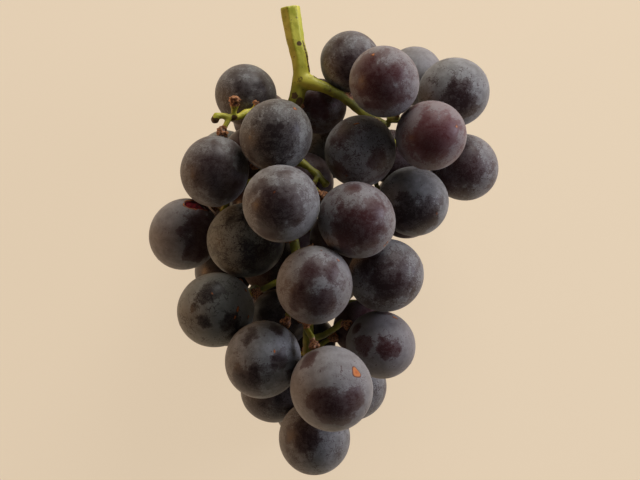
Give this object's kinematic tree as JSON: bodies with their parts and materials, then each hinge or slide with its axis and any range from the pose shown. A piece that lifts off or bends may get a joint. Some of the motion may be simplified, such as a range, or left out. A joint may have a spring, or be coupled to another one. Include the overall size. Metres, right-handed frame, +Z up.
{
  "type": "bunch of grapes",
  "caption": "Bunch of large dark table grapes on one branched green stem, cut and lying on its back.",
  "frame": {"origin": "on the surface that the bunch lies on, below the middle of its box", "axes": "+Z up from that surface, +Y towards the cut end of the stem, +X to the right when the stem points away"},
  "size_m": [0.1274, 0.1682, 0.0906],
  "materials": {
    "skin": "dark purple-black skin under a rubbed waxy bloom",
    "stem": "fresh yellow-green stem with rust-brown caps"
  },
  "bodies": {
    "root": {"berry_back_01": "skin", "berry_back_02": "skin", "berry_back_03": "skin", "berry_back_04": "skin", "berry_back_05": "skin", "berry_back_06": "skin", "berry_back_07": "skin", "berry_back_08": "skin", "berry_back_09": "skin", "berry_back_10": "skin", "berry_back_11": "skin", "berry_back_12": "skin", "berry_back_13": "skin", "berry_back_14": "skin", "berry_far_top_left": "skin", "berry_inner_far_left": "skin", "berry_inner_far_right": "skin", "berry_inner_fork": "skin", "berry_inner_left": "skin", "berry_inner_lower": "skin", "berry_inner_lower_left": "skin", "berry_inner_lower_right": "skin", "berry_inner_middle": "skin", "berry_inner_middle_left": "skin", "berry_inner_middle_right": "skin", "berry_inner_tail": "skin", "berry_inner_tail_end": "skin", "berry_inner_top": "skin", "berry_inner_twig": "skin", "berry_inner_upper": "skin", "berry_inner_upper_right": "skin", "berry_inner_waist": "skin", "berry_inner_waist_left": "skin", "berry_inner_waist_right": "skin", "berry_lower_far_left": "skin", "berry_lower_far_right": "skin", "berry_lower_left": "skin", "berry_lower_right": "skin", "berry_middle_far_right": "skin", "berry_middle_left": "skin", "berry_middle_right": "skin", "berry_tail": "skin", "berry_tail_left": "skin", "berry_tail_right": "skin", "berry_top_back": "skin", "berry_top_front": "skin", "berry_top_left": "skin", "berry_top_right": "skin", "berry_upper_far_left": "skin", "berry_upper_far_right": "skin", "berry_upper_left": "skin", "berry_upper_middle": "skin", "berry_upper_right": "skin", "berry_waist_far_left": "skin", "berry_waist_left": "skin", "berry_waist_middle": "skin", "berry_waist_right": "skin", "stem": "stem"}
  },
  "joints": []
}
